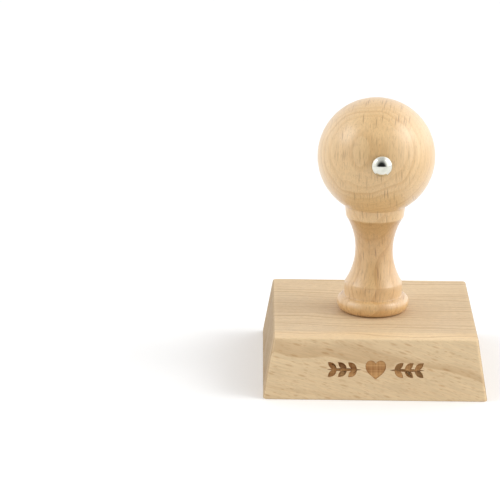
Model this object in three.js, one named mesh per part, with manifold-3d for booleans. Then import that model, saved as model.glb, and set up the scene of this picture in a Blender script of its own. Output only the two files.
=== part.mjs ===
// A hand stamp made of beech: a square block with sloping sides whose underside is
// engraved as the stamping face, a turned handle with a ball grip, a bright domed stud
// that marks the front, and the dowel screw that holds the handle to the block.
//
// Millimetres. +Z is up and -Y is the front. The stamping face lies in the plane z = 0
// with its centre at the origin.

import * as THREE from 'three';
import { mergeVertices } from 'three/addons/utils/BufferGeometryUtils.js';
import Module from 'manifold-3d';

// ---- Block -------------------------------------------------------------------------
const FACE_WIDTH = 66;              // across the stamping face, before its edges are eased
const TOP_WIDTH = 60;               // across the top of the block
const BLOCK_HEIGHT = 18;
const UPRIGHT_CORNER_RADIUS = 1;    // the four sloping corners
const EDGE_EASE = 0.3;              // small chamfer round the face and round the top

// ---- Engraved design ---------------------------------------------------------------
const ENGRAVING_DEPTH = 1.2;
const FACE_MARGIN = 3;              // plain border outside the square groove
const SQUARE_GROOVE = 2.4;          // width of the square groove
const DIAMOND_GROOVE = 2.2;         // width of the groove round the diamond
const DIAMOND_INSET = 0.5;          // from the square groove's outer edge to the diamond's corners
const LARGE_HEART_WIDTH = 24.1;
const LARGE_HEART_DROP = 1.1;       // the large heart hangs a little below the centre
const SMALL_HEART_LAND = 2.4;       // least wood left round a heart in a corner triangle
const SMALL_HEART_GAP = 1.6;        // from a small heart's side to the square groove

// ---- Maker's ornament, burnt into the front slope ----------------------------------
const ORNAMENT_DEPTH = 0.25;
const ORNAMENT_HEART_WIDTH = 6;
const SPRIG_LENGTH = 10.4;
const SPRIG_GAP = 1;                // from the ornament's heart to each sprig
const STEM_THICKNESS = 0.9;
const LEAF_LENGTH = 3.4;
const LEAF_WIDTH = 1.7;
const LEAF_PAIRS = 3;
const LEAF_ANGLE = THREE.MathUtils.degToRad(40);  // between a leaf and its stem

// ---- Turned handle, from the block upwards -----------------------------------------
const FOOT_CONTACT_RADIUS = 8.8;    // the circle that rests on the block
const BEAD_RADIUS = 10.85;          // the foot's bead at its widest
const BEAD_LOWER_HEIGHT = 2.6;
const BEAD_UPPER_HEIGHT = 2.2;
const COLUMN_RADIUS = 8.7;          // short column above the bead, and the foot of the collar
const COLUMN_HEIGHT = 3.8;
const NECK_RADIUS = 5.65;           // the waist at its narrowest
const NECK_HEIGHT = 20.8;
const COLLAR_TOP_RADIUS = 9.05;
const COLLAR_HEIGHT = 3.2;
const BALL_RADIUS = 17.55;

// ---- Dowel screw: a thread at each end and a plain middle ---------------------------
const SCREW_LENGTH = 30;
const WOOD_UNDER_HOLE = 1.6;        // left between the drilled hole and the engraving
const THREAD_RADIUS = 2.5;
const THREAD_ROOT_RADIUS = 1.75;
const THREAD_PITCH = 2.2;
const THREAD_LAND = 1.1;            // width of the ridge at its root
const PLAIN_MIDDLE = 3;
const SCREW_TIP = 3.2;              // length of the cone at each end
const SCREW_CLEARANCE = 0.15;       // all round the thread
const DRILL_ALLOWANCE = 0.6;        // each hole is drilled this much deeper than the screw
const DRILL_POINT_ANGLE = THREE.MathUtils.degToRad(59);  // half of a 118 degree drill point

// ---- Marker stud -------------------------------------------------------------------
const STUD_HEAD_RADIUS = 3.1;
const STUD_HEAD_HEIGHT = 2.5;
const STUD_RIM = 0.35;              // height of the head's short upright rim
const STUD_SHANK_RADIUS = 0.8;
const STUD_SHANK_LENGTH = 8;
const STUD_POINT = 1.6;             // length of the shank's point
const STUD_CLEARANCE = 0.15;        // between shank and hole, and between head and ball
const STUD_RISE = THREE.MathUtils.degToRad(5);   // above the ball's equator
const STUD_SWING = THREE.MathUtils.degToRad(3);  // to the right of the front centre line

// ---- Fineness ----------------------------------------------------------------------
const TURNING_SEGMENTS = 48;
const STUD_SEGMENTS = 32;
const SCREW_SEGMENTS = 16;
const HOLE_SEGMENTS = 24;
const CORNER_STEPS = 4;             // steps along each arc of an outline or a profile
const CURVE_STEPS = 8;
const BEAD_STEPS = 5;
const NECK_STEPS = 16;
const BALL_STEPS = 26;
const DOME_STEPS = 8;
const THREAD_STEPS = 6;             // rows of points for each turn of thread
const CUTTER_OVERRUN = 1;           // how far a cutter stands out of what it cuts
const WELD_DISTANCE = 1e-4;         // points closer than this become one

const wasm = await Module();
wasm.setup();

// ---- Solids --------------------------------------------------------------------------

function weld(geometry) {
  const bare = geometry.clone();
  bare.deleteAttribute('normal');
  bare.deleteAttribute('uv');
  return mergeVertices(bare, WELD_DISTANCE);
}

function toSolid(geometry) {
  const welded = weld(geometry);
  const corners = Array.from(welded.index.array);
  const triangles = [];
  for (let i = 0; i < corners.length; i += 3) {
    const [a, b, c] = corners.slice(i, i + 3);
    if (a !== b && b !== c && c !== a) triangles.push(a, b, c);
  }
  return new wasm.Manifold(new wasm.Mesh({
    numProp: 3,
    vertProperties: new Float32Array(welded.attributes.position.array),
    triVerts: new Uint32Array(triangles),
  }));
}

function toGeometry(solid) {
  const mesh = solid.getMesh();
  const geometry = new THREE.BufferGeometry();
  geometry.setAttribute('position', new THREE.BufferAttribute(mesh.vertProperties, 3));
  geometry.setIndex(new THREE.BufferAttribute(mesh.triVerts, 1));
  geometry.computeVertexNormals();
  return geometry;
}

// A solid of revolution about Z from [radius, height] points that start and end on the axis.
function turned(profile, segments) {
  const points = profile.map(([radius, height]) => new THREE.Vector2(radius, height));
  return new THREE.LatheGeometry(points, segments).rotateX(Math.PI / 2);
}

// Points on an ellipse about (radius, height), both end points included.
function arc(radius, height, reachOut, reachUp, start, end, steps) {
  const points = [];
  for (let i = 0; i <= steps; i += 1) {
    const angle = start + ((end - start) * i) / steps;
    points.push([radius + reachOut * Math.cos(angle), height + reachUp * Math.sin(angle)]);
  }
  return points;
}

function extrudedSolid(shape, height, matrix) {
  const settings = { depth: height, bevelEnabled: false, curveSegments: CURVE_STEPS };
  return toSolid(new THREE.ExtrudeGeometry(shape, settings).applyMatrix4(matrix));
}

// ---- Outlines ------------------------------------------------------------------------

function polygon(points) {
  return new THREE.Shape(points.map(([x, y]) => new THREE.Vector2(x, y)));
}

function squarePoints(half) {
  return [[-half, -half], [half, -half], [half, half], [-half, half]];
}

function diamondPoints(reach) {
  return [[reach, 0], [0, reach], [-reach, 0], [0, -reach]];
}

function ring(outer, inner) {
  const shape = polygon(outer);
  shape.holes.push(polygon(inner));
  return shape;
}

// An upright heart of the given width, its bounding box centred on (x, y).
// The right half runs from the notch over the lobe to the tip; the left half mirrors it.
function heart(width, x, y) {
  const half = width / 2;
  const rightHalf = [
    [0, 0.61], [0.08, 0.8], [0.26, 0.93],
    [0.5, 0.93], [0.78, 0.93], [1, 0.7],
    [1, 0.35], [1, -0.28], [0.36, -0.61],
    [0, -0.93],
  ];
  const leftHalf = rightHalf.map(([u, v]) => [-u, v]).reverse();
  const shape = new THREE.Shape();
  const place = ([u, v]) => [x + u * half, y + v * half];
  shape.moveTo(...place(rightHalf[0]));
  for (const side of [rightHalf, leftHalf]) {
    for (let i = 1; i < side.length; i += 3) {
      shape.bezierCurveTo(...place(side[i]), ...place(side[i + 1]), ...place(side[i + 2]));
    }
  }
  return shape;
}

// A leaf or a tapering stem: two bowed edges that meet in points at start and end.
function blade(start, end, width) {
  const [x0, y0] = start;
  const [x1, y1] = end;
  const length = Math.hypot(x1 - x0, y1 - y0);
  const across = [-(y1 - y0) / length, (x1 - x0) / length];
  const middle = [(x0 + x1) / 2, (y0 + y1) / 2];
  const control = (offset) => [middle[0] + across[0] * offset, middle[1] + across[1] * offset];
  const shape = new THREE.Shape();
  shape.moveTo(x0, y0);
  shape.quadraticCurveTo(...control(width), x1, y1);
  shape.quadraticCurveTo(...control(-width), x0, y0);
  return shape;
}

// ---- Block ---------------------------------------------------------------------------

const sideSlope = (FACE_WIDTH - TOP_WIDTH) / 2 / BLOCK_HEIGHT;

function halfWidthAt(z) {
  return FACE_WIDTH / 2 - sideSlope * z;
}

function roundedSquareRing(half, radius, z) {
  const centre = half - radius;
  const points = [];
  for (let corner = 0; corner < 4; corner += 1) {
    const start = (corner * Math.PI) / 2;
    const cx = centre * (corner === 0 || corner === 3 ? 1 : -1);
    const cy = centre * (corner < 2 ? 1 : -1);
    for (const [x, y] of arc(cx, cy, radius, radius, start, start + Math.PI / 2, CORNER_STEPS)) {
      points.push([x, y, z]);
    }
  }
  return points;
}

function plainBlock() {
  const easedCorner = UPRIGHT_CORNER_RADIUS - EDGE_EASE;
  const upper = BLOCK_HEIGHT - EDGE_EASE;
  const rings = [
    roundedSquareRing(halfWidthAt(0) - EDGE_EASE, easedCorner, 0),
    roundedSquareRing(halfWidthAt(EDGE_EASE), UPRIGHT_CORNER_RADIUS, EDGE_EASE),
    roundedSquareRing(halfWidthAt(upper), UPRIGHT_CORNER_RADIUS, upper),
    roundedSquareRing(halfWidthAt(BLOCK_HEIGHT) - EDGE_EASE, easedCorner, BLOCK_HEIGHT),
  ];
  const count = rings[0].length;
  const positions = [...rings.flat(), [0, 0, 0], [0, 0, BLOCK_HEIGHT]];
  const bottomCentre = rings.length * count;
  const topCentre = bottomCentre + 1;
  const topRing = (rings.length - 1) * count;
  const index = [];
  for (let i = 0; i < count; i += 1) {
    const next = (i + 1) % count;
    index.push(bottomCentre, next, i);
    index.push(topCentre, topRing + i, topRing + next);
    for (let level = 0; level < rings.length - 1; level += 1) {
      const low = level * count;
      const high = low + count;
      index.push(low + i, low + next, high + next);
      index.push(low + i, high + next, high + i);
    }
  }
  const geometry = new THREE.BufferGeometry();
  geometry.setAttribute('position', new THREE.Float32BufferAttribute(positions.flat(), 3));
  geometry.setIndex(index);
  return geometry;
}

// The engraving as cutters. Down the design is towards the front of the stamp.
function engravingCutters() {
  const half = FACE_WIDTH / 2 - FACE_MARGIN;
  const panel = half - SQUARE_GROOVE;
  const diamond = half - DIAMOND_INSET;
  const diamondPanel = diamond - DIAMOND_GROOVE * Math.SQRT2;
  const triangleLeg = 2 * panel - diamond;
  const triangleInradius = triangleLeg * (1 - Math.SQRT1_2);
  const smallWidth = 2 * (triangleInradius - SMALL_HEART_LAND);
  const smallPlace = panel - SMALL_HEART_GAP - smallWidth / 2;
  const outlines = [
    ring(squarePoints(half), squarePoints(panel)),
    ring(diamondPoints(diamond), diamondPoints(diamondPanel)),
    heart(LARGE_HEART_WIDTH, 0, -LARGE_HEART_DROP),
  ];
  for (const [sideX, sideY] of squarePoints(1)) {
    outlines.push(heart(smallWidth, sideX * smallPlace, sideY * smallPlace));
  }
  const belowFace = new THREE.Matrix4().makeTranslation(0, 0, -CUTTER_OVERRUN);
  return outlines.map((shape) => extrudedSolid(shape, ENGRAVING_DEPTH + CUTTER_OVERRUN, belowFace));
}

function sprig(side) {
  const start = [ORNAMENT_HEART_WIDTH / 2 + SPRIG_GAP, 0];
  const end = [start[0] + SPRIG_LENGTH, 0];
  const place = ([x, y]) => [side * x, y];
  const shapes = [blade(place(start), place(end), STEM_THICKNESS)];
  for (let pair = 0; pair < LEAF_PAIRS; pair += 1) {
    const root = [start[0] + (SPRIG_LENGTH * (2 * pair + 1)) / (2 * LEAF_PAIRS + 1), 0];
    const tipAcross = root[0] + LEAF_LENGTH * Math.cos(LEAF_ANGLE);
    const tipUp = LEAF_LENGTH * Math.sin(LEAF_ANGLE);
    for (const lift of [tipUp, -tipUp]) {
      shapes.push(blade(place(root), place([tipAcross, lift]), LEAF_WIDTH));
    }
  }
  return shapes;
}

// The ornament's cutters, sunk into the middle of the front slope.
function ornamentCutters() {
  const shapes = [heart(ORNAMENT_HEART_WIDTH, 0, 0), ...sprig(1), ...sprig(-1)];
  const slopeUp = new THREE.Vector3(0, sideSlope, 1).normalize();
  const across = new THREE.Vector3(1, 0, 0);
  const outward = new THREE.Vector3().crossVectors(across, slopeUp);
  const matrix = new THREE.Matrix4().makeBasis(across, slopeUp, outward);
  const middle = BLOCK_HEIGHT / 2;
  matrix.setPosition(new THREE.Vector3(0, -halfWidthAt(middle), middle)
    .addScaledVector(outward, -ORNAMENT_DEPTH));
  return shapes.map((shape) => extrudedSolid(shape, ORNAMENT_DEPTH + CUTTER_OVERRUN, matrix));
}

const holeRadius = THREAD_RADIUS + SCREW_CLEARANCE;
const drillPoint = holeRadius / Math.tan(DRILL_POINT_ANGLE);
const blockHoleTip = ENGRAVING_DEPTH + WOOD_UNDER_HOLE;
const screwFoot = blockHoleTip + drillPoint + DRILL_ALLOWANCE;

function blockGeometry() {
  const hole = turned([
    [0, blockHoleTip],
    [holeRadius, blockHoleTip + drillPoint],
    [holeRadius, BLOCK_HEIGHT + CUTTER_OVERRUN],
    [0, BLOCK_HEIGHT + CUTTER_OVERRUN],
  ], HOLE_SEGMENTS);
  let block = toSolid(plainBlock()).subtract(toSolid(hole));
  for (const cutter of [...engravingCutters(), ...ornamentCutters()]) {
    block = block.subtract(cutter);
  }
  return toGeometry(block);
}

// ---- Handle --------------------------------------------------------------------------

const beadWidest = BLOCK_HEIGHT + BEAD_LOWER_HEIGHT;
const columnFoot = beadWidest + BEAD_UPPER_HEIGHT;
const columnTop = columnFoot + COLUMN_HEIGHT;
const collarFoot = columnTop + NECK_HEIGHT;
const collarTop = collarFoot + COLLAR_HEIGHT;
const ballCentre = collarTop + Math.sqrt(BALL_RADIUS ** 2 - COLLAR_TOP_RADIUS ** 2);

// The hollow of the neck is one arc from the column's top to the collar's foot.
function neckArc() {
  const sagitta = COLUMN_RADIUS - NECK_RADIUS;
  const halfChord = NECK_HEIGHT / 2;
  const radius = (halfChord ** 2 + sagitta ** 2) / (2 * sagitta);
  const halfAngle = Math.asin(halfChord / radius);
  const start = Math.PI + halfAngle;
  const end = Math.PI - halfAngle;
  return arc(NECK_RADIUS + radius, columnTop + halfChord, radius, radius, start, end, NECK_STEPS);
}

function handleProfile() {
  const holeTop = screwFoot + SCREW_LENGTH + DRILL_ALLOWANCE;
  const quarter = Math.PI / 2;
  const beadUnder = BEAD_RADIUS - FOOT_CONTACT_RADIUS;
  const beadOver = BEAD_RADIUS - COLUMN_RADIUS;
  const ballFoot = -Math.acos(COLLAR_TOP_RADIUS / BALL_RADIUS);
  return [
    [0, holeTop + drillPoint],
    [holeRadius, holeTop],
    [holeRadius, BLOCK_HEIGHT],
    ...arc(FOOT_CONTACT_RADIUS, beadWidest, beadUnder, BEAD_LOWER_HEIGHT, -quarter, 0, BEAD_STEPS),
    ...arc(COLUMN_RADIUS, beadWidest, beadOver, BEAD_UPPER_HEIGHT, 0, quarter, BEAD_STEPS).slice(1),
    ...neckArc(),
    ...arc(0, ballCentre, BALL_RADIUS, BALL_RADIUS, ballFoot, quarter, BALL_STEPS).slice(0, -1),
    [0, ballCentre + BALL_RADIUS],
  ];
}

// The stud's own frame has its origin at the ball's centre and +Z along the shank, outwards.
const studFrame = new THREE.Matrix4()
  .makeTranslation(0, 0, ballCentre)
  .multiply(new THREE.Matrix4().makeRotationZ(STUD_SWING))
  .multiply(new THREE.Matrix4().makeRotationX(Math.PI / 2 - STUD_RISE));

function handleGeometry() {
  const radius = STUD_SHANK_RADIUS + STUD_CLEARANCE;
  const floor = BALL_RADIUS - STUD_SHANK_LENGTH - DRILL_ALLOWANCE;
  const hole = turned([
    [0, floor],
    [radius, floor],
    [radius, BALL_RADIUS + CUTTER_OVERRUN],
    [0, BALL_RADIUS + CUTTER_OVERRUN],
  ], HOLE_SEGMENTS).applyMatrix4(studFrame);
  const body = toSolid(turned(handleProfile(), TURNING_SEGMENTS));
  return toGeometry(body.subtract(toSolid(hole)));
}

// ---- Marker stud ---------------------------------------------------------------------

function studGeometry() {
  const seat = BALL_RADIUS + STUD_CLEARANCE;
  const domeHeight = STUD_HEAD_HEIGHT - STUD_RIM;
  return turned([
    [0, BALL_RADIUS - STUD_SHANK_LENGTH],
    [STUD_SHANK_RADIUS, BALL_RADIUS - STUD_SHANK_LENGTH + STUD_POINT],
    [STUD_SHANK_RADIUS, seat],
    [STUD_HEAD_RADIUS, seat],
    ...arc(0, seat + STUD_RIM, STUD_HEAD_RADIUS, domeHeight, 0, Math.PI / 2, DOME_STEPS).slice(0, -1),
    [0, seat + STUD_HEAD_HEIGHT],
  ], STUD_SEGMENTS);
}

// ---- Dowel screw ---------------------------------------------------------------------

// 1 on a threaded stretch, falling to 0 at the plain middle and towards each point.
function threadFade(z) {
  const fromMiddle = Math.abs(z) - PLAIN_MIDDLE / 2;
  const fromEnd = SCREW_LENGTH / 2 - Math.abs(z);
  return THREE.MathUtils.clamp(Math.min(fromMiddle / THREAD_PITCH, fromEnd / SCREW_TIP), 0, 1);
}

// Height of the thread's ridge, 0 to 1, after a number of turns: a triangle as wide as
// the thread's land at its root.
function threadRidge(turns) {
  const fromCrest = Math.abs(turns - Math.floor(turns) - 0.5) * THREAD_PITCH;
  return Math.max(0, 1 - fromCrest / (THREAD_LAND / 2));
}

// The screw about its own middle, a right-hand thread all the way.
function screwGeometry() {
  const half = SCREW_LENGTH / 2;
  const rows = Math.round((SCREW_LENGTH / THREAD_PITCH) * THREAD_STEPS);
  const profile = [[0, -half]];
  for (let row = 1; row < rows; row += 1) {
    const z = -half + (SCREW_LENGTH * row) / rows;
    const taper = Math.min(1, (half - Math.abs(z)) / SCREW_TIP);
    profile.push([THREAD_ROOT_RADIUS * taper, z]);
  }
  profile.push([0, half]);
  const geometry = turned(profile, SCREW_SEGMENTS);
  const positions = geometry.attributes.position;
  for (let i = 0; i < positions.count; i += 1) {
    const x = positions.getX(i);
    const y = positions.getY(i);
    const z = positions.getZ(i);
    const radius = Math.hypot(x, y);
    if (radius > 0) {
      const turns = z / THREAD_PITCH - Math.atan2(y, x) / (2 * Math.PI);
      const ridge = (THREAD_RADIUS - THREAD_ROOT_RADIUS) * threadFade(z) * threadRidge(turns);
      const stretch = (radius + ridge) / radius;
      positions.setXY(i, x * stretch, y * stretch);
    }
  }
  return weld(geometry);
}

// ---- Assembly ------------------------------------------------------------------------

function addPiece(parent, name, geometry, colour, roughness, metalness) {
  const material = new THREE.MeshStandardMaterial({ color: colour, roughness, metalness });
  const mesh = new THREE.Mesh(geometry, material);
  mesh.name = name;
  parent.add(mesh);
  return mesh;
}

const stamp = new THREE.Group();
addPiece(stamp, 'stamp_block', blockGeometry(), 0xdcc096, 0.6, 0);
addPiece(stamp, 'turned_handle', handleGeometry(), 0xd9b380, 0.35, 0);

const screw = addPiece(stamp, 'dowel_screw', screwGeometry(), 0xb9bcc0, 0.4, 1);
screw.position.z = screwFoot + SCREW_LENGTH / 2;

const stud = addPiece(stamp, 'front_marker_stud', studGeometry(), 0xe6e4df, 0.1, 1);
stud.applyMatrix4(studFrame);

export default stamp;
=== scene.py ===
# %% [markdown]
# # A beech hand stamp
#
# A hand stamp is two pieces of wood. The block is sawn from an 18 mm beech board, its
# sides are planed to a slope and a laser burns the design into its underside. The handle
# is turned on a lathe from one square length of beech: a ball for the palm, a small
# collar, a waisted neck and a round foot. A bright domed stud in the ball shows which way
# the design faces, and a hidden screw holds the two pieces of wood together.
#
# The CAD model holds the sizes. This script rounds off the edges that sandpaper would,
# gives each piece its real surface, and lights the stamp as on a photographer's table.

# %% Load the CAD model
import math

import bpy
from mathutils import Matrix, Vector


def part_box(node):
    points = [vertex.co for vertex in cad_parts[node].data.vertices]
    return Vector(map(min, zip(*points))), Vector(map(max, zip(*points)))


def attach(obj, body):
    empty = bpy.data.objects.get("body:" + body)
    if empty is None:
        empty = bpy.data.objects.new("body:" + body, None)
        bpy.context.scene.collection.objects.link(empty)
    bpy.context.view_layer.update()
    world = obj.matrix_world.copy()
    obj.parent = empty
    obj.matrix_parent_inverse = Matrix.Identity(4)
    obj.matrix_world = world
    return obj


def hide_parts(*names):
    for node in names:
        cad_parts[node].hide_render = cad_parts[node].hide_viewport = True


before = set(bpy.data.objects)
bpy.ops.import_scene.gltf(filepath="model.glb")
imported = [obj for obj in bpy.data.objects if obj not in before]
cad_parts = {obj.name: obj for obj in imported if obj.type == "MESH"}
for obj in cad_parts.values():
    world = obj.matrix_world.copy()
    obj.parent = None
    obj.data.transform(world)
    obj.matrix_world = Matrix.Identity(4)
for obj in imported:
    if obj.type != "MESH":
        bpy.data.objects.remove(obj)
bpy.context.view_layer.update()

# %% [markdown]
# ## Sizes
#
# Blender works in metres, so a millimetre gets a name of its own. The places of the
# pieces are read off the CAD model. The few sizes below are the ones that a box around a
# piece can't tell: the block's half widths out to its sharp corners, the engraving, the
# ball inside the handle's outline, and how the stud is set.

# %% Sizes taken from the CAD model, and a few that belong to the pieces
MM = 0.001

BLOCK_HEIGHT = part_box("stamp_block")[1].z
handle_low, handle_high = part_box("turned_handle")

FACE_HALF = 33 * MM
TOP_HALF = 30 * MM
DESIGN_HALF = 30 * MM
ENGRAVING_DEPTH = 1.2 * MM
BALL_RADIUS = 17.55 * MM
BALL_CENTRE = Vector((0, 0, handle_high.z - BALL_RADIUS))
STUD_RISE = math.radians(5)
STUD_SWING = math.radians(3)

NEAR = 0.01 * MM     # places closer than this count as one place
EXACT = 0.001 * MM   # and this close counts as lying exactly on a plane
WELD = 0.002 * MM    # vertices closer than this are merged
print("block height", round(BLOCK_HEIGHT / MM, 2), "ball centre", round(BALL_CENTRE.z / MM, 2))

# %% [markdown]
# ## A camera at arm's length
#
# The stamp stands to the right in the picture, seen from in front, a little from the
# left and from 16 degrees above. A long lens from almost a metre away keeps the sides of
# the block nearly parallel, as in a shop's picture. The camera was held a trifle askew.

# %% Camera
SENSOR = 36.0
LENS = 212.6
PITCH = math.radians(16.34)
ROLL = math.radians(0.72)
CAMERA_PLACE = (-37.3 * MM, -852.5 * MM, 285.9 * MM)
SIGHT = 50  # metres, past the far edge of the floor

camera_data = bpy.data.cameras.new("camera")
camera_data.sensor_width = SENSOR
camera_data.lens = LENS
camera_data.clip_end = SIGHT
camera = bpy.data.objects.new("camera", camera_data)
bpy.context.scene.collection.objects.link(camera)
camera.location = CAMERA_PLACE
turn = Matrix.Rotation(math.radians(90) - PITCH, 3, "X") @ Matrix.Rotation(ROLL, 3, "Z")
camera.rotation_euler = turn.to_euler()
bpy.context.scene.camera = camera
print("camera", round(camera.location.length, 3), "m from the stamp")

# %% [markdown]
# ## Helpers for modelling
#
# Blender's operators act on whatever is selected, as a hand would. So each piece starts
# with nothing selected, and a small helper picks vertices, edges or faces by a rule.

# %% Modelling helpers


def start_clean():
    """Leaves edit mode and deselects everything."""
    if bpy.context.object and bpy.context.object.mode != "OBJECT":
        bpy.ops.object.mode_set(mode="OBJECT")
    bpy.ops.object.select_all(action="DESELECT")


def make_active(piece):
    start_clean()
    piece.select_set(True)
    bpy.context.view_layer.objects.active = piece


def pick(piece, kind, rule):
    """In edit mode, selects the vertices, edges or faces of a kind that follow a rule."""
    bpy.ops.mesh.select_all(action="DESELECT")
    bpy.ops.mesh.select_mode(type={"vertices": "VERT", "edges": "EDGE", "polygons": "FACE"}[kind])
    bpy.ops.object.mode_set(mode="OBJECT")
    chosen = [part for part in getattr(piece.data, kind) if rule(part)]
    for part in chosen:
        part.select = True
    bpy.ops.object.mode_set(mode="EDIT")
    return len(chosen)


def finish_mesh(piece, smooth_angle):
    """Closes the mesh, points its faces outwards and smooths what is nearly flat."""
    bpy.ops.mesh.select_all(action="SELECT")
    bpy.ops.mesh.remove_doubles(threshold=WELD)
    bpy.ops.mesh.normals_make_consistent(inside=False)
    bpy.ops.object.mode_set(mode="OBJECT")
    bpy.ops.object.shade_smooth_by_angle(angle=smooth_angle)
    print(piece.name, len(piece.data.polygons), "faces")


# %% [markdown]
# ## The handle, turned from its outline
#
# A turner cuts a handle to a template, a card with the outline on it. Here the template
# is read off the CAD handle: the points of its mesh that lie straight to the right of
# the axis. The outline's corners are kept and the curves between them are drawn finer.

# %% The turner's template


def outline_of(node):
    """The CAD piece's outline to the right of its axis, as (radius, height), foot first."""
    found = set()
    for vertex in node.data.vertices:
        place = vertex.co
        if abs(place.y) < EXACT and place.x > NEAR:
            found.add((round(place.x, 7), round(place.z, 7)))
    return sorted(found, key=lambda point: (point[1], point[0]))


def bend_at(points, i):
    before = Vector(points[i]) - Vector(points[i - 1])
    after = Vector(points[i + 1]) - Vector(points[i])
    return abs(before.angle_signed(after))


def drawn_finer(points, corners, steps):
    """Puts more points on the curves between corners, each on a smooth curve through four."""
    fine = []
    for i in range(len(points) - 1):
        a = Vector(points[max(i - 1, 0)] if i not in corners else points[i])
        b = Vector(points[i])
        c = Vector(points[i + 1])
        d = Vector(points[min(i + 2, len(points) - 1)] if i + 1 not in corners else points[i + 1])
        straight = i in corners and i + 1 in corners
        for step in range(1 if straight else steps):
            t = step / steps
            fine.append(0.5 * (2 * b + (c - a) * t + (2 * a - 5 * b + 4 * c - d) * t * t
                               + (3 * b - a - 3 * c + d) * t ** 3))
    return fine + [Vector(points[-1])]


handle_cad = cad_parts["turned_handle"]
outline = outline_of(handle_cad)
hole_radius = min(radius for radius, height in outline if height < BLOCK_HEIGHT + NEAR)
bore = [point for point in outline if point[0] < hole_radius + NEAR and point[1] < BALL_CENTRE.z]
bore_top = max(height for radius, height in bore)
skin = [point for point in outline if point not in bore] + [(0.0, handle_high.z)]
CORNER_BEND = math.radians(16)
STEPS_PER_POINT = 3
corners = {i for i in range(1, len(skin) - 1) if bend_at(skin, i) > CORNER_BEND} | {0}
template = drawn_finer(skin, corners, STEPS_PER_POINT)
corner_points = [Vector(skin[i]) for i in sorted(corners)]
print(len(skin), "points on the outline,", len(corners), "corners,", len(template), "points drawn")

# %% [markdown]
# The template is drawn in edit mode one point after another: a single vertex is pulled
# out into a line, point by point. Sandpaper takes the sharpness off every corner, so the
# corner points are bevelled: most by very little, but where the neck runs out into its
# foot the gouge leaves a wide soft turn. Then the line is spun once round the axis.

# %% Draw the outline, ease its corners and spin it
TURNING_STEPS = 128
CORNER_EASE = 0.16 * MM
NECK_EASE = 1.3 * MM
BELOW_COLLAR = BALL_CENTRE.z - 30 * MM
DRILL_TIP_ANGLE = math.radians(118)
DRILL_POINT = hole_radius / math.tan(DRILL_TIP_ANGLE / 2)
HANDLE_SMOOTH = math.radians(40)


def draw_line(name, points):
    """A mesh line through (radius, height) points, drawn by extruding one vertex."""
    start_clean()
    first = points[0]
    bpy.ops.mesh.primitive_plane_add(size=MM, location=(first[0], 0, first[1]))
    piece = bpy.context.object
    piece.name = piece.data.name = name
    bpy.ops.object.transform_apply(location=True, rotation=False, scale=False)
    bpy.ops.object.mode_set(mode="EDIT")
    bpy.ops.mesh.select_all(action="SELECT")
    bpy.ops.mesh.merge(type="CENTER")
    for before, after in zip(points, points[1:]):
        step = (after[0] - before[0], 0, after[1] - before[1])
        bpy.ops.mesh.extrude_region_move(TRANSFORM_OT_translate={"value": step})
    return piece


def spin_round(steps):
    bpy.ops.mesh.select_all(action="SELECT")
    bpy.ops.mesh.spin(steps=steps, angle=2 * math.pi, center=(0, 0, 0), axis=(0, 0, 1))


foot_z = handle_low.z
line = [Vector((0, bore_top + DRILL_POINT)), Vector((hole_radius, bore_top)),
        Vector((hole_radius, foot_z))] + template
handle = draw_line("lacquered_handle", line)
neck_foot = max((point for point in corner_points if point.y < BELOW_COLLAR),
                key=lambda point: point.y)
crisp = [point for point in corner_points if point is not neck_foot]
eased = 0
for points, width, segments in (([neck_foot], NECK_EASE, 6), (crisp, CORNER_EASE, 3)):
    eased += pick(handle, "vertices", lambda v: any(
        (Vector((v.co.x, v.co.z)) - point).length < NEAR for point in points))
    bpy.ops.mesh.bevel(offset=width, segments=segments, affect="VERTICES")
spin_round(TURNING_STEPS)
finish_mesh(handle, HANDLE_SMOOTH)
print(eased, "corners eased")

# %% [markdown]
# ## The hole for the stud
#
# The stud is a domed nail. Its shank goes into a hole drilled in the ball, a little wider
# and deeper than the shank. A round cutter, taken away with a Boolean modifier, drills it.

# %% Drill the ball
SHANK_RADIUS = 0.8 * MM
SHANK_LENGTH = 8 * MM
HOLE_ROOM = 0.15 * MM
END_ROOM = 0.6 * MM
DRILL_SIDES = 64
STUD_TURN = Matrix.Rotation(STUD_SWING, 4, "Z") @ Matrix.Rotation(math.radians(90) - STUD_RISE, 4, "X")
STUD_FRAME = Matrix.Translation(BALL_CENTRE) @ STUD_TURN


def cylinder_on_stud_axis(name, radius, start, end):
    """A cylinder on the stud's axis, from one distance to another out from the ball's centre."""
    start_clean()
    bpy.ops.mesh.primitive_cylinder_add(
        vertices=DRILL_SIDES, radius=radius, depth=end - start, location=(0, 0, (start + end) / 2))
    tool = bpy.context.object
    tool.name = name
    bpy.ops.object.transform_apply(location=True, rotation=False, scale=False)
    tool.matrix_world = STUD_FRAME
    bpy.ops.object.transform_apply(location=True, rotation=True, scale=False)
    return tool


def cut_away(piece, tool):
    make_active(piece)
    cut = piece.modifiers.new("cut", "BOOLEAN")
    cut.operation = "DIFFERENCE"
    cut.solver = "EXACT"
    cut.object = tool
    bpy.ops.object.modifier_apply(modifier=cut.name)
    bpy.data.objects.remove(tool)


drill = cylinder_on_stud_axis(
    "drill", SHANK_RADIUS + HOLE_ROOM, BALL_RADIUS - SHANK_LENGTH - END_ROOM, BALL_RADIUS + MM)
cut_away(handle, drill)
print("handle after drilling:", len(handle.data.polygons), "faces")

# %% [markdown]
# ## The marker stud
#
# The head is a shallow dome on a thin rim. It starts as a ball: the lower half is cut off
# at the equator, the upper half is pressed flatter, and the open edge is pulled down into
# the rim, drawn in to the shank and pulled down to a point.

# %% Model the stud
HEAD_RADIUS = 3.1 * MM
HEAD_HEIGHT = 2.5 * MM
RIM = 0.35 * MM
RIM_EASE = 0.1 * MM
HEAD_GAP = 0.15 * MM
SHANK_POINT = 1.6 * MM
NEARLY_SHUT = 0.02
STUD_SMOOTH = math.radians(50)


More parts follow.
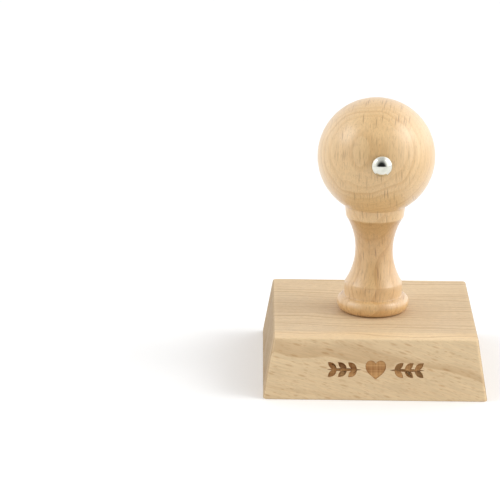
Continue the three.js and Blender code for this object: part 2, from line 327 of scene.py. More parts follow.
def pull(step, size=1.0):
    """Extrudes the selected edge loop by a step and scales it about its own middle."""
    bpy.ops.mesh.extrude_region_move(TRANSFORM_OT_translate={"value": step})
    bpy.ops.transform.resize(value=(size, size, 1))


start_clean()
bpy.ops.mesh.primitive_uv_sphere_add(segments=96, ring_count=48, radius=HEAD_RADIUS)
stud = bpy.context.object
stud.name = stud.data.name = "marker_stud"
bpy.ops.object.mode_set(mode="EDIT")
bpy.ops.mesh.select_all(action="SELECT")
bpy.ops.mesh.bisect(plane_co=(0, 0, 0), plane_no=(0, 0, 1), clear_inner=True)
bpy.ops.mesh.select_all(action="SELECT")
bpy.ops.transform.resize(value=(1, 1, (HEAD_HEIGHT - RIM) / HEAD_RADIUS), center_override=(0, 0, 0))
pick(stud, "edges", lambda e: all(abs(stud.data.vertices[v].co.z) < EXACT for v in e.vertices))
pull((0, 0, RIM_EASE - RIM))
pull((0, 0, -RIM_EASE), (HEAD_RADIUS - RIM_EASE) / HEAD_RADIUS)
pull((0, 0, 0), SHANK_RADIUS / (HEAD_RADIUS - RIM_EASE))
pull((0, 0, -(SHANK_LENGTH - SHANK_POINT)))
pull((0, 0, -SHANK_POINT), NEARLY_SHUT)
bpy.ops.mesh.merge(type="CENTER")
finish_mesh(stud, STUD_SMOOTH)
stud.matrix_world = STUD_FRAME @ Matrix.Translation((0, 0, BALL_RADIUS + HEAD_GAP + RIM))
make_active(stud)
bpy.ops.object.transform_apply(location=True, rotation=True, scale=False)

# %% [markdown]
# ## The block, sanded
#
# The CAD block already has its slopes, its engraving and its ornament. A copy of its mesh
# is cleaned of loose triangles, and then gets what a sander and a laser leave: softened
# outer edges, and a dark line of char where the beam turned at the foot of every wall.

# %% Copy and clean the block
FLAT_ENOUGH = math.radians(0.5)

block_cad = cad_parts["stamp_block"]
block = bpy.data.objects.new("sanded_block", block_cad.data.copy())
block.data.name = "sanded_block"
block.data.materials.clear()
bpy.context.scene.collection.objects.link(block)
make_active(block)
bpy.ops.object.mode_set(mode="EDIT")
bpy.ops.mesh.select_all(action="SELECT")
bpy.ops.mesh.remove_doubles(threshold=WELD)
bpy.ops.mesh.dissolve_limited(angle_limit=FLAT_ENOUGH)
bpy.ops.object.mode_set(mode="OBJECT")
print("block:", len(block.data.polygons), "faces once cleaned")

# %% [markdown]
# The outer edges are picked by their place: both ends lie within a chamfer's width of the
# block's outside. A narrow bevel turns each chamfer's two hard lines into a soft round.

# %% Round the outer edges
SLOPE = (FACE_HALF - TOP_HALF) / BLOCK_HEIGHT
EDGE_BAND = 1.3 * MM
RIM_BAND = 0.32 * MM
EDGE_EASE = 0.13 * MM
SHARP = math.radians(30)


def half_width_at(z):
    return FACE_HALF - SLOPE * z


def near_outer_edge(place):
    """True within a chamfer of the block's top or bottom rim, or of a sloping corner."""
    half = half_width_at(place.z)
    beside_x = half - abs(place.x) < EDGE_BAND
    beside_y = half - abs(place.y) < EDGE_BAND
    at_rim = min(place.z, BLOCK_HEIGHT - place.z) < RIM_BAND
    return (beside_x and beside_y) or (at_rim and (beside_x or beside_y))


def face_angles(mesh):
    """For each edge, the angle between its two faces."""
    touching = {}
    for face in mesh.polygons:
        for key in face.edge_keys:
            touching.setdefault(key, []).append(face.normal.copy())
    return {key: pair[0].angle(pair[1]) for key, pair in touching.items() if len(pair) == 2}


angles = face_angles(block.data)
bpy.ops.object.mode_set(mode="EDIT")
rounded = pick(block, "edges", lambda e: (
    angles.get(tuple(sorted(e.vertices)), 0) > SHARP
    and all(near_outer_edge(block.data.vertices[v].co) for v in e.vertices)))
bpy.ops.mesh.bevel(offset=EDGE_EASE, segments=3, affect="EDGES", clamp_overlap=True)
bpy.ops.object.mode_set(mode="OBJECT")
print(rounded, "edges rounded")

# %% [markdown]
# The floors of the engraving are picked by their depth and drawn in from the walls by
# 0.3 mm, and the shallow floors of the ornament on the front by about half as much.
# The points along the walls then carry a value of 1 in an attribute called char, and the
# points inside carry 0, so the shader can darken the foot of each wall and let the dark
# fade out.

# %% Char along the walls of the engraving and the ornament
CHAR_WIDTH = 0.3 * MM
ORNAMENT_CHAR_WIDTH = 0.16 * MM
ORNAMENT_HALF = 17 * MM
ORNAMENT_DEPTH = 0.25 * MM
SLOPE_ANGLE = math.atan(SLOPE)
SAME_DEPTH = 0.02 * MM


def depth_under_front(place):
    """How deep a place lies under the front slope, square to it."""
    return (half_width_at(place.z) + place.y) * math.cos(SLOPE_ANGLE)


def out_from_middle(place):
    """How far out a place lies, counted in growing squares as the design is drawn."""
    return max(abs(place.x), abs(place.y))


def is_floor(face):
    deep = abs(face.center.z - ENGRAVING_DEPTH) < SAME_DEPTH
    return deep and face.normal.z < -0.99 and out_from_middle(face.center) < DESIGN_HALF


def is_ornament_floor(face):
    deep = abs(depth_under_front(face.center) - ORNAMENT_DEPTH) < SAME_DEPTH
    return deep and face.normal.y < -0.95 and abs(face.center.x) < ORNAMENT_HALF


def draw_in(piece, rule, width):
    """Insets the faces that a rule picks; returns their number and the points inside."""
    make_active(piece)
    bpy.ops.object.mode_set(mode="EDIT")
    count = pick(piece, "polygons", rule)
    bpy.ops.mesh.inset(thickness=width, depth=0, use_boundary=True, use_even_offset=True)
    bpy.ops.object.mode_set(mode="OBJECT")
    return count, {v for face in piece.data.polygons if face.select for v in face.vertices}


shallow, shallow_points = draw_in(block, is_ornament_floor, ORNAMENT_CHAR_WIDTH)
shallow_places = {tuple(round(c, 7) for c in block.data.vertices[v].co) for v in shallow_points}
deep, deep_points = draw_in(block, is_floor, CHAR_WIDTH)
char = block.data.attributes.new("char", "FLOAT", "POINT")
for vertex in block.data.vertices:
    place = vertex.co
    engraved = out_from_middle(place) < DESIGN_HALF + 0.1 * MM and place.z < ENGRAVING_DEPTH * 1.02
    on_front = place.y < 0 and SAME_DEPTH < depth_under_front(place) < ORNAMENT_DEPTH * 1.2
    inside = vertex.index in deep_points or tuple(round(c, 7) for c in place) in shallow_places
    char.data[vertex.index].value = 1.0 if (engraved or on_front) and not inside else 0.0
bpy.ops.object.shade_smooth_by_angle(angle=SHARP)
print(deep, "deep floors and", shallow, "shallow ones drawn in")

# %% [markdown]
# A round edge next to a wide flat face makes the flat face look dented, because Blender
# averages the two. The Weighted Normal modifier lets the larger face decide, so the flats
# stay flat and only the narrow rounds are shaded round.

# %% Even out the shading
evened = block.modifiers.new("even shading", "WEIGHTED_NORMAL")
evened.keep_sharp = True
make_active(block)
bpy.ops.object.modifier_apply(modifier=evened.name)
print(len(block.data.polygons), "faces in the block")

# %% [markdown]
# ## Helpers for materials
#
# A material is a small machine of nodes. These helpers add a node and wire it in one
# line, so that the recipe stays readable.

# %% Node helpers


def wire(tree, made, inputs):
    """Wires sockets to a node's inputs, and sets the inputs that are given a plain value."""
    for key, value in inputs.items():
        if isinstance(value, bpy.types.NodeSocket):
            tree.links.new(value, made.inputs[key])
        else:
            made.inputs[key].default_value = value


def node(tree, kind, inputs=None, **settings):
    """Adds a node: settings are its properties, inputs its sockets, wired or set."""
    made = tree.nodes.new(kind)
    for name, value in settings.items():
        setattr(made, name, value)
    wire(tree, made, inputs or {})
    return made


def calc(tree, operation, a, b=0.0):
    return node(tree, "ShaderNodeMath", {0: a, 1: b}, operation=operation).outputs[0]


def ease(tree, value, low, high, to_low=0.0, to_high=1.0):
    """A soft step: to_low at low, to_high at high."""
    inputs = {"Value": value, "From Min": low, "From Max": high, "To Min": to_low, "To Max": to_high}
    made = node(tree, "ShaderNodeMapRange", inputs, interpolation_type="SMOOTHSTEP")
    return made.outputs["Result"]


def mixed(tree, factor, a, b, blend="MIX"):
    """Mixes two colours. Sockets 6 and 7 are the colour inputs of the Mix node."""
    inputs = {0: factor, 6: a, 7: b}
    made = node(tree, "ShaderNodeMix", inputs, data_type="RGBA", blend_type=blend, clamp_factor=True)
    return made.outputs[2]


def vector_calc(tree, operation, a, b):
    return node(tree, "ShaderNodeVectorMath", {0: a, 1: b}, operation=operation).outputs[0]


def stretched(tree, vector, scale):
    return vector_calc(tree, "MULTIPLY", vector, scale)


def grown(tree, vector, times):
    return node(tree, "ShaderNodeVectorMath", {0: vector, "Scale": times}, operation="SCALE").outputs[0]


def length_of(tree, vector):
    return node(tree, "ShaderNodeVectorMath", {0: vector}, operation="LENGTH").outputs["Value"]


def noise(tree, vector, scale, detail=2.0):
    made = node(tree, "ShaderNodeTexNoise", {"Vector": vector, "Scale": scale, "Detail": detail})
    return made.outputs["Fac"]


def paint(red, green, blue):
    """A colour as a paint chart gives it, 0 to 255, in the linear light that shaders use."""
    def linear(value):
        share = value / 255
        return share / 12.92 if share <= 0.04045 else ((share + 0.055) / 1.055) ** 2.4
    return (linear(red), linear(green), linear(blue), 1.0)


def new_group(name, inputs, outputs):
    """A shader node group with named sockets; returns the tree and its two end nodes."""
    tree = bpy.data.node_groups.new(name, "ShaderNodeTree")
    for label, kind, value in inputs:
        socket = tree.interface.new_socket(label, in_out="INPUT", socket_type="NodeSocket" + kind)
        if value is not None:
            socket.default_value = value
    for label, kind in outputs:
        tree.interface.new_socket(label, in_out="OUTPUT", socket_type="NodeSocket" + kind)
    return tree, tree.nodes.new("NodeGroupInput").outputs, tree.nodes.new("NodeGroupOutput").inputs


def use_group(tree, group, inputs):
    return node(tree, "ShaderNodeGroup", inputs, node_tree=group).outputs


def new_material(name):
    """A material with its Principled shader, its tree and its Object coordinates."""
    material = bpy.data.materials.new(name)
    material.use_nodes = True
    tree = material.node_tree
    shader = tree.nodes["Principled BSDF"]
    place = tree.nodes.new("ShaderNodeTexCoord").outputs["Object"]
    return material, tree, shader, place


# %% [markdown]
# ## Beech
#
# Beech is pale and fine. Three things tell it from other woods. Its growth rings are
# faint lines, straight on one face and arched on another. Its rays are thin ribbons that
# run from the heart outwards: cut end-on, they show as short dark dashes along the grain,
# and cut along, they hardly show. And its pores are fine dark hairs. All three are built
# as a solid, in millimetres, so that every face of a piece shows the cut that a saw would
# find there: X runs along the grain, Y from the heart outwards, and Z round the tree.

# %% The beech group: where the place lies in the tree
beech, given, result = new_group(
    "beech",
    [("Vector", "Vector", None), ("Normal", "Vector", None), ("Heart", "Vector", (0, -90, -30)),
     ("Ring Width", "Float", 2.0), ("Ring Strength", "Float", 0.5),
     ("Fleck Spacing", "Vector", (4.0, 10, 0.9)), ("Fleck Strength", "Float", 0.6),
     ("Pore Strength", "Float", 0.3), ("Wood", "Color", paint(225, 198, 158)),
     ("Ring", "Color", paint(205, 172, 128)), ("Fleck", "Color", paint(180, 135, 88))],
    [("Colour", "Color"), ("Rings", "Float"), ("Flecks", "Float"), ("Height", "Float")])

SWAY_PER_MM = 0.045
SWAY_REACH = (2.0, 2.6, 2.6)  # millimetres

in_mm = grown(beech, given["Vector"], 1 / MM)
sway = node(beech, "ShaderNodeTexNoise", {"Vector": in_mm, "Scale": SWAY_PER_MM, "Detail": 1.0})
sway = vector_calc(beech, "SUBTRACT", sway.outputs["Color"], (0.5, 0.5, 0.5))
sway = stretched(beech, sway, SWAY_REACH)
wood_place = vector_calc(beech, "ADD", in_mm, sway)
print("the wood sways by up to", max(SWAY_REACH) / 2, "mm")

# %% Growth rings: circles round the heart, each year a little darker or paler than the next
GOOD_AND_BAD_YEARS = 3.0  # how many rings' widths the rings wander by

from_heart = vector_calc(beech, "SUBTRACT", wood_place, given["Heart"])
radius = length_of(beech, stretched(beech, from_heart, (0, 1, 1)))
years = calc(beech, "DIVIDE", radius, given["Ring Width"])
uneven = noise(beech, stretched(beech, wood_place, (0.01, 0.12, 0.12)), 1.0, 1.0)
years = calc(beech, "ADD", years, calc(beech, "MULTIPLY", uneven, GOOD_AND_BAD_YEARS))
season = calc(beech, "FRACT", years)
year = calc(beech, "FLOOR", years)
strength = node(beech, "ShaderNodeTexWhiteNoise", {"W": year}, noise_dimensions="1D").outputs["Value"]
late = calc(beech, "MULTIPLY", ease(beech, season, 0.35, 0.9), ease(beech, season, 1.0, 0.93))
rings = calc(beech, "MULTIPLY", late, ease(beech, strength, -0.2, 1.0))

# %% Rays: stretched cells with one dash in each, left out where a cell draws a low number


def dashes(scale, least, seed):
    """Dashes as far apart as scale says; seed moves them, so two sets don't coincide."""
    moved = vector_calc(beech, "ADD", wood_place, (seed, seed, seed))
    cells = vector_calc(beech, "DIVIDE", moved, scale)
    spots = node(beech, "ShaderNodeTexVoronoi", {"Vector": cells, "Scale": 1.0})
    drawn = node(beech, "ShaderNodeSeparateColor", {0: spots.outputs["Color"]})
    kept = ease(beech, drawn.outputs[0], least, 1.0)
    return calc(beech, "MULTIPLY", kept, ease(beech, spots.outputs["Distance"], 0.4, 0.12))


large = dashes(given["Fleck Spacing"], 0.05, 0.0)
small = dashes(stretched(beech, given["Fleck Spacing"], (0.5, 0.6, 0.5)), 0.15, 31.0)
flecks = calc(beech, "MAXIMUM", large, calc(beech, "MULTIPLY", small, 0.7))
facing = node(beech, "ShaderNodeSeparateXYZ", {0: given["Normal"]}).outputs[2]
cut_along = ease(beech, calc(beech, "ABSOLUTE", facing), 0.92, 0.45, 0.1, 1.0)
flecks = calc(beech, "MULTIPLY", flecks, cut_along)

# %% Pores, fibres and the colour of it all
CLOUD_STRENGTH = 0.24
FIBRE_DARK, FIBRE_BRIGHT = 0.93, 1.04

pores = ease(beech, noise(beech, stretched(beech, wood_place, (0.45, 5.0, 5.0)), 1.0, 1.0), 0.6, 0.75)
fibres = noise(beech, stretched(beech, wood_place, (0.12, 2.2, 2.2)), 1.0, 4.0)
clouds = noise(beech, stretched(beech, wood_place, (0.02, 0.11, 0.11)), 1.0, 2.0)

colour = mixed(beech, calc(beech, "MULTIPLY", rings, given["Ring Strength"]), given["Wood"], given["Ring"])
colour = mixed(beech, ease(beech, clouds, 0.35, 0.7, 0.0, CLOUD_STRENGTH), colour, given["Ring"])
colour = mixed(beech, calc(beech, "MULTIPLY", flecks, given["Fleck Strength"]), colour, given["Fleck"])
colour = mixed(beech, calc(beech, "MULTIPLY", pores, given["Pore Strength"]), colour, given["Fleck"])
colour = grown(beech, colour, ease(beech, fibres, 0.3, 0.7, FIBRE_DARK, FIBRE_BRIGHT))

height = calc(beech, "SUBTRACT", fibres, calc(beech, "ADD", pores, calc(beech, "MULTIPLY", flecks, 0.3)))
for label, value in (("Colour", colour), ("Rings", rings), ("Flecks", flecks), ("Height", height)):
    beech.links.new(value, result[label])
print("beech group:", len(beech.nodes), "nodes")

# %% [markdown]
# A piece of wood is cut from the tree at some angle. The next helper turns a piece's own
# directions into the tree's: it is told which way the grain runs in the piece, and which
# way leads outwards from the heart.

# %% How a piece lies in the tree


def laid_in_tree(tree, place, grain, outwards):
    """The place and the surface's normal, turned so that X is the grain and Y outwards."""
    x = Vector(grain).normalized()
    z = x.cross(Vector(outwards)).normalized()
    y = z.cross(x)
    turn = Matrix((x, y, z)).to_euler()
    normal = tree.nodes.new("ShaderNodeTexCoord").outputs["Normal"]
    turned = [node(tree, "ShaderNodeMapping", {"Vector": given_vector, "Rotation": turn},
                   vector_type="VECTOR").outputs[0] for given_vector in (place, normal)]
    return {"Vector": turned[0], "Normal": turned[1]}


# %% [markdown]
# ## Handling
#
# Hands leave their mark on everything they hold: faint smears that are a little duller
# or shinier than the rest, and fine hairlines. One group makes both, and each material
# takes as much as it needs.

# %% The handling group
handling, given, result = new_group(
    "handling",
    [("Vector", "Vector", None), ("Smear Size", "Float", 8.0)],
    [("Smears", "Float"), ("Hairlines", "Float")])
in_mm = grown(handling, given["Vector"], 1 / MM)
by_smear = calc(handling, "DIVIDE", 1.0, given["Smear Size"])
smears = ease(handling, noise(handling, in_mm, by_smear, 4.0), 0.35, 0.7)
hairlines = noise(handling, stretched(handling, in_mm, (1.0, 6.0, 0.6)), 1.5, 3.0)
handling.links.new(smears, result["Smears"])
handling.links.new(ease(handling, hairlines, 0.55, 0.75), result["Hairlines"])
print("handling group:", len(handling.nodes), "nodes")

# %% [markdown]
# ## Burnt wood
#
# A laser engraves in passes, line by line, and leaves a fine weave of lines across and
# along the floor of each cut, darker where it slowed. The growth rings resist it, so they
# stay as pale stripes. The group takes the place on the surface, the rings under it and
# the char, and gives back a colour and a height.

# %% The burnt wood group
burn, given, result = new_group(
    "burnt wood",
    [("Vector", "Vector", None), ("Rings", "Float", 0.0), ("Char", "Float", 0.0),
     ("Light", "Color", paint(170, 114, 58)), ("Dark", "Color", paint(82, 46, 16)),
     ("Lines", "Float", 2.4)],
    [("Colour", "Color"), ("Height", "Float")])
in_mm = grown(burn, given["Vector"], 1 / MM)
across = noise(burn, stretched(burn, in_mm, (1.0, 0.05, 0.05)), given["Lines"], 1.0)
along = noise(burn, stretched(burn, in_mm, (0.03, 1.0, 1.0)), given["Lines"], 1.0)
weave = calc(burn, "ADD", ease(burn, across, 0.3, 0.7, 0.0, 0.45), ease(burn, along, 0.3, 0.7, 0.0, 0.55))
patches = noise(burn, stretched(burn, in_mm, (0.08, 0.3, 0.3)), 1.0, 2.0)
tone = calc(burn, "ADD", calc(burn, "MULTIPLY", weave, 0.75), ease(burn, patches, 0.35, 0.7, -0.1, 0.35))
tone = calc(burn, "SUBTRACT", tone, calc(burn, "MULTIPLY", given["Char"], 0.75))
colour = mixed(burn, tone, given["Dark"], given["Light"])
stripe = calc(burn, "MULTIPLY", ease(burn, given["Rings"], 0.45, 0.8), 0.45)
stripe = calc(burn, "MULTIPLY", stripe, calc(burn, "SUBTRACT", 1.0, given["Char"]))
colour = mixed(burn, stripe, colour, paint(206, 152, 92))
burn.links.new(colour, result["Colour"])
burn.links.new(weave, result["Height"])
print("burnt wood group:", len(burn.nodes), "nodes")

# %% [markdown]
# ## The block's beech
#
# The board's grain runs from left to right and dips a little to the right. The heart of
# the tree lay behind the block and a little above it, so the top shows straight lines and
# the front slope shows the short spindles of the rays. A band along the front is paler:
# partly the youngest rings, and partly painted light that brightens the front slope. The
# two ends are cut across the grain and are darker: partly the end grain's own colour, and
# partly painted shade.
#
# The burnt places are found by their depth alone. Underneath, any surface above the face
# but inside the design was burnt. On the front, any surface under the slope was burnt.

# %% Material: block
PALE_FROM, PALE_WHOLLY = -22 * MM, -25 * MM
WEAR_FROM, WEAR_WHOLLY = 1.6 * MM, 0.2 * MM
END_FROM, END_WHOLLY = 0.35 * MM, 0.15 * MM
ORNAMENT_LOW, ORNAMENT_HIGH = 3 * MM, 15 * MM

material_block, tree, shader, place = new_material("sanded_beech")
wood = use_group(tree, beech, {
    **laid_in_tree(tree, place, (0.955, 0.0, -0.297), (0, -1, 0.05)),
    "Heart": (0, -100, -38), "Ring Width": 2.1, "Ring Strength": 0.8,
    "Fleck Spacing": (4.4, 11, 1.05), "Fleck Strength": 0.45, "Pore Strength": 0.28,
    "Wood": paint(220, 195, 158), "Ring": paint(193, 162, 123), "Fleck": paint(170, 120, 70)})

axis = node(tree, "ShaderNodeSeparateXYZ", {0: place}).outputs
x_out = calc(tree, "ABSOLUTE", axis[0])
y_out = calc(tree, "ABSOLUTE", axis[1])
half_here = calc(tree, "SUBTRACT", FACE_HALF, calc(tree, "MULTIPLY", axis[2], SLOPE))
to_end = calc(tree, "SUBTRACT", half_here, x_out)
to_front = calc(tree, "SUBTRACT", half_here, y_out)
to_top = calc(tree, "SUBTRACT", BLOCK_HEIGHT, axis[2])

beside = calc(tree, "MINIMUM", to_end, to_front)
beside_far = calc(tree, "MAXIMUM", to_end, to_front)
upright = calc(tree, "MINIMUM", to_top, axis[2])
to_edge = calc(tree, "MINIMUM", calc(tree, "MAXIMUM", beside, upright), beside_far)
wear = ease(tree, to_edge, WEAR_FROM, WEAR_WHOLLY)

# painted shade: both ends are darkened, partly the end grain's own colour and partly painted shade
end_grain_and_shade = ease(tree, to_end, END_FROM, END_WHOLLY)
# painted light: the band along the front is paler, partly young rings and partly painted light on the
# front slope
pale_rings_and_front_light = ease(tree, axis[1], PALE_FROM, PALE_WHOLLY)
colour = mixed(tree, pale_rings_and_front_light, wood["Colour"], (1.17, 1.16, 1.12, 1.0), "MULTIPLY")
colour = mixed(tree, end_grain_and_shade, colour, (0.66, 0.63, 0.6, 1.0), "MULTIPLY")
colour = mixed(tree, calc(tree, "MULTIPLY", wear, 0.18), colour, paint(238, 212, 170))

inside_design = calc(tree, "LESS_THAN", calc(tree, "MAXIMUM", x_out, y_out), DESIGN_HALF + 0.2 * MM)
above_face = ease(tree, axis[2], 0.02 * MM, 0.12 * MM)
under_floor = calc(tree, "LESS_THAN", axis[2], ENGRAVING_DEPTH + 0.1 * MM)
face_burnt = calc(tree, "MULTIPLY", calc(tree, "MULTIPLY", inside_design, above_face), under_floor)
char_here = node(tree, "ShaderNodeAttribute", attribute_name="char").outputs["Fac"]
face_burn = use_group(tree, burn, {"Vector": place, "Rings": wood["Rings"], "Char": char_here})

below_slope = calc(tree, "MULTIPLY", to_front, math.cos(SLOPE_ANGLE))
in_ornament = calc(tree, "MULTIPLY", calc(tree, "LESS_THAN", x_out, ORNAMENT_HALF),
                   calc(tree, "LESS_THAN", axis[1], 0.0))
sunk = calc(tree, "MULTIPLY", ease(tree, below_slope, 0.03 * MM, 0.1 * MM),
            calc(tree, "LESS_THAN", below_slope, 0.4 * MM))
mid_height = calc(tree, "MULTIPLY", calc(tree, "GREATER_THAN", axis[2], ORNAMENT_LOW),
                  calc(tree, "LESS_THAN", axis[2], ORNAMENT_HIGH))
front_burnt = calc(tree, "MULTIPLY", calc(tree, "MULTIPLY", sunk, in_ornament), mid_height)
front_burn = use_group(tree, burn, {
    "Vector": place, "Rings": 0.0, "Char": char_here, "Lines": 1.9,
    "Light": paint(208, 160, 104), "Dark": paint(148, 96, 50)})

colour = mixed(tree, face_burnt, colour, face_burn["Colour"])
colour = mixed(tree, front_burnt, colour, front_burn["Colour"])
hands = use_group(tree, handling, {"Vector": place, "Smear Size": 12.0})
burnt = calc(tree, "MAXIMUM", face_burnt, front_burnt)
rough = calc(tree, "ADD", ease(tree, hands["Smears"], 0.0, 1.0, 0.62, 0.52),
             calc(tree, "MULTIPLY", burnt, 0.2))
rough = calc(tree, "ADD", rough, calc(tree, "MULTIPLY", end_grain_and_shade, 0.12))
height = calc(tree, "ADD", wood["Height"], calc(tree, "MULTIPLY", burnt, face_burn["Height"]))
bump = node(tree, "ShaderNodeBump", {"Strength": 0.35, "Distance": 0.06 * MM, "Height": height})
wire(tree, shader, {"Base Color": colour, "Roughness": rough, "Normal": bump.outputs[0],
                    "Specular IOR Level": 0.35})
print("sanded beech:", len(tree.nodes), "nodes")

# %% [markdown]
# ## The handle's beech
#
# The handle's grain runs up the handle, leaning back a little, and the rings lie nearly
# flat to the front. So the ball shows arched rings near its top, and dark dashes run up
# the front. The stem is painted darker and warmer than the ball, most of all just under
# the collar: this is painted shade under the ball and the collar. A thin satin lacquer
# gives two soft highlights: it is a coat over the wood, with its own gloss.

# %% Material: handle
STEM_FROM, STEM_WHOLLY = 47.6 * MM, 46.8 * MM
STEM_PALEST, STEM_DARKEST = 26 * MM, 47 * MM

material_handle, tree, shader, place = new_material("lacquered_beech")
wood = use_group(tree, beech, {
    **laid_in_tree(tree, place, (0.03, 0.32, 0.95), (-0.14, -0.88, 0.42)),
    "Heart": (0, -52, 8), "Ring Width": 1.6, "Ring Strength": 0.6,
    "Fleck Spacing": (5.6, 12, 0.6), "Fleck Strength": 0.5, "Pore Strength": 0.35,
    "Wood": paint(232, 195, 139), "Ring": paint(209, 163, 101), "Fleck": paint(132, 76, 32)})
height_up = node(tree, "ShaderNodeSeparateXYZ", {0: place}).outputs[2]
# painted shade: the stem is darker and warmer under the ball, deepest just under the collar
stem_shade = ease(tree, height_up, STEM_FROM, STEM_WHOLLY)
deeper = ease(tree, height_up, STEM_PALEST, STEM_DARKEST, 0.45, 1.0)
stem_shade = calc(tree, "MULTIPLY", stem_shade, deeper)
colour = mixed(tree, stem_shade, wood["Colour"], (0.78, 0.69, 0.56, 1.0), "MULTIPLY")
hands = use_group(tree, handling, {"Vector": place, "Smear Size": 9.0})
rough = calc(tree, "ADD", ease(tree, hands["Smears"], 0.0, 1.0, 0.5, 0.4),
             calc(tree, "MULTIPLY", wood["Flecks"], 0.1))
bump = node(tree, "ShaderNodeBump", {"Strength": 0.25, "Distance": 0.04 * MM, "Height": wood["Height"]})
wire(tree, shader, {"Base Color": colour, "Roughness": rough, "Normal": bump.outputs[0],
                    "Coat Weight": 1.0, "Coat Roughness": 0.31, "Coat IOR": 1.62})
print("lacquered beech:", len(tree.nodes), "nodes")

# %% [markdown]
# ## Nickel and zinc
#
# The stud is bright nickel, a warm white mirror with faint fingerprints and hairlines.
# The screw inside is plain zinc plate, duller and bluer, with a fine mottle.

# %% Materials: stud and screw


def metal(name, tone, darker, rough_low, rough_high, smear_size):
    material, tree, shader, place = new_material(name)
    hands = use_group(tree, handling, {"Vector": place, "Smear Size": smear_size})
    colour = mixed(tree, hands["Smears"], tone, darker)
    rough = calc(tree, "ADD", ease(tree, hands["Smears"], 0.0, 1.0, rough_low, rough_high),
                 calc(tree, "MULTIPLY", hands["Hairlines"], 0.05))
    bump = node(tree, "ShaderNodeBump",
                {"Strength": 0.05, "Distance": 0.01 * MM, "Height": hands["Hairlines"]})
    wire(tree, shader, {"Base Color": colour, "Roughness": rough, "Normal": bump.outputs[0],
                        "Metallic": 1.0})
    return material


material_nickel = metal("bright_nickel", paint(226, 226, 216), paint(208, 208, 197), 0.05, 0.12, 2.0)
material_zinc = metal("zinc_plate", paint(196, 200, 204), paint(170, 175, 182), 0.28, 0.45, 0.8)
print("metals:", material_nickel.name, "and", material_zinc.name)

# %% [markdown]
# ## Put the pieces together
#
# Each new piece takes its material, rides on the stamp's one body and stands for the CAD
# piece it was made from. The screw stays as CAD made it, because nobody sees it.

# %% Assemble
for piece, material, cad_name, slot_name in (
        (block, material_block, "stamp_block", "beech_block"),
        (handle, material_handle, "turned_handle", "beech_handle"),
        (stud, material_nickel, "front_marker_stud", "polished_nickel")):
    piece.data.materials.clear()
    piece.data.materials.append(material)
    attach(piece, "root")
    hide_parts(cad_name)
    print(piece.name, "stands for", cad_name)

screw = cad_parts["dowel_screw"]
for slot in screw.material_slots:
    slot.material = material_zinc

# %% [markdown]
# ## The table and the light
#
# The stamp stands on a white sweep inside a white tent, with a large soft light on each
# side. The tent is open towards the camera, and that dark opening is what the stud
# mirrors in its middle. The wide floor and the white world behind it run into each
# other, so the stamp seems to stand in white. The floor has only an upper side and is cut
# out under the stamp: that shows in no view from above, and from below the engraving can
# be lit and looked at. It lies a hair under the stamp, so that no two surfaces share a
# place. It looks whiter than it lights, and glows very faintly, as a lit sweep does.

# %% Floor
FLOOR_SIZE = 30
HAIR = 0.02 * MM
HOLE_HALF = FACE_HALF - 0.35 * MM
FLOOR_GLOW = 0.05

start_clean()
bpy.ops.mesh.primitive_plane_add(size=FLOOR_SIZE, location=(0, 0, -HAIR))
floor = bpy.context.object
floor.name = "white_sweep"
bpy.ops.object.transform_apply(location=True, rotation=False, scale=False)
bpy.ops.object.mode_set(mode="EDIT")
bpy.ops.mesh.select_all(action="SELECT")
bpy.ops.mesh.inset(thickness=FLOOR_SIZE / 2 - HOLE_HALF, depth=0)
bpy.ops.mesh.delete(type="FACE")
bpy.ops.object.mode_set(mode="OBJECT")
material_floor, tree, shader, place = new_material("white_sweep")
fine = noise(tree, place, 400.0, 2.0)
ray = node(tree, "ShaderNodeLightPath").outputs
looked_at = calc(tree, "MAXIMUM", ray["Is Camera Ray"], ray["Is Glossy Ray"])
bounced = mixed(tree, fine, paint(206, 206, 206), paint(212, 212, 212))
white = mixed(tree, looked_at, bounced, mixed(tree, fine, paint(252, 252, 252), paint(254, 254, 254)))
wire(tree, shader, {"Base Color": white, "Roughness": 0.9, "Specular IOR Level": 0.1,
                    "Emission Color": (1, 1, 1, 1), "Emission Strength": FLOOR_GLOW})
from_below = node(tree, "ShaderNodeNewGeometry").outputs["Backfacing"]
clear = node(tree, "ShaderNodeBsdfTransparent").outputs[0]
one_sided = node(tree, "ShaderNodeMixShader", {0: from_below, 1: shader.outputs[0], 2: clear})
tree.links.new(one_sided.outputs[0], tree.nodes["Material Output"].inputs["Surface"])
floor.data.materials.append(material_floor)
print("floor", FLOOR_SIZE, "m wide, with a hole", round(2 * HOLE_HALF / MM, 1), "mm wide")

# %% [markdown]
# The world is plain white to the eye, and a tent to whatever it lights. The tent's right
# wall is the brightest and its roof the dimmest. In what the stamp mirrors, the roof is
# brighter and the round opening in front is almost black.

# %% World
RIGHT_WALL, LEFT_WALL, BACK_WALL = 1.1, 0.45, 0.25
TENT_ALL_ROUND = 0.74
ROOF, ROOF_MIRRORED = 0.4, 0.72
OPENING, OPENING_MIRRORED = 0.2, 0.97  # how much light the opening takes away

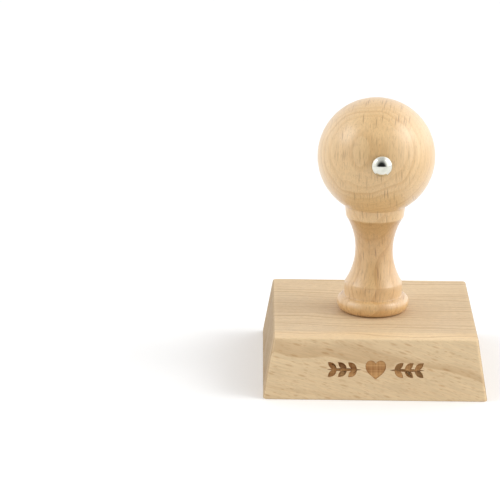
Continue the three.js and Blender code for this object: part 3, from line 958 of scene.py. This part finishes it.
world = bpy.data.worlds.new("tent")
bpy.context.scene.world = world
world.use_nodes = True
tree = world.node_tree
output = tree.nodes["World Output"]
tree.nodes.remove(tree.nodes["Background"])
direction = node(tree, "ShaderNodeTexCoord").outputs["Generated"]
axis = node(tree, "ShaderNodeSeparateXYZ", {0: direction}).outputs
right_wall = ease(tree, axis[0], 0.15, 0.85, 0.0, RIGHT_WALL)
left_wall = ease(tree, axis[0], -0.15, -0.85, 0.0, LEFT_WALL)
back_wall = ease(tree, axis[1], 0.0, 0.7, 0.0, BACK_WALL)
walls = calc(tree, "ADD", calc(tree, "ADD", right_wall, left_wall), back_wall)
ray = node(tree, "ShaderNodeLightPath").outputs
mirrored = ray["Is Glossy Ray"]
overhead = ease(tree, mirrored, 0.0, 1.0, ROOF, ROOF_MIRRORED)
tent = calc(tree, "ADD", walls, ease(tree, axis[2], 0.25, 0.8, TENT_ALL_ROUND, overhead))
from_middle = length_of(tree, stretched(tree, direction, (1.05, 0, 0.95)))
in_front = calc(tree, "LESS_THAN", axis[1], 0.0)
opening = calc(tree, "MULTIPLY", in_front, ease(tree, from_middle, 0.95, 0.42))
shade = ease(tree, mirrored, 0.0, 1.0, OPENING, OPENING_MIRRORED)
tent = calc(tree, "MULTIPLY", tent, calc(tree, "SUBTRACT", 1.0, calc(tree, "MULTIPLY", opening, shade)))
light = node(tree, "ShaderNodeBackground", {"Color": (1, 1, 1, 1), "Strength": tent}).outputs[0]
seen = node(tree, "ShaderNodeBackground", {"Color": (1, 1, 1, 1), "Strength": 1.0}).outputs[0]
light = node(tree, "ShaderNodeMixShader", {0: ray["Is Camera Ray"], 1: light, 2: seen}).outputs[0]
tree.links.new(light, output.inputs["Surface"])
print("world:", len(tree.nodes), "nodes")

# %% Two soft lights
LIGHT_DISTANCE = 0.9
LIGHT_SIZE = 0.42
LIGHT_TARGET = Vector((0, 0, 45 * MM))


def soft_light(name, direction, power):
    """A square area light, aimed at the middle of the stamp."""
    data = bpy.data.lights.new(name, "AREA")
    data.shape = "SQUARE"
    data.size = LIGHT_SIZE
    data.energy = power
    lamp = bpy.data.objects.new(name, data)
    bpy.context.scene.collection.objects.link(lamp)
    away = Vector(direction).normalized()
    lamp.location = LIGHT_TARGET + away * LIGHT_DISTANCE
    lamp.rotation_euler = away.to_track_quat("Z", "Y").to_euler()
    print(name, power, "W")


soft_light("left_softbox", (-0.78, -0.1, 0.62), 1.5)
soft_light("right_softbox", (0.74, -0.1, 0.66), 1.9)
bpy.context.scene.view_settings.view_transform = "Standard"
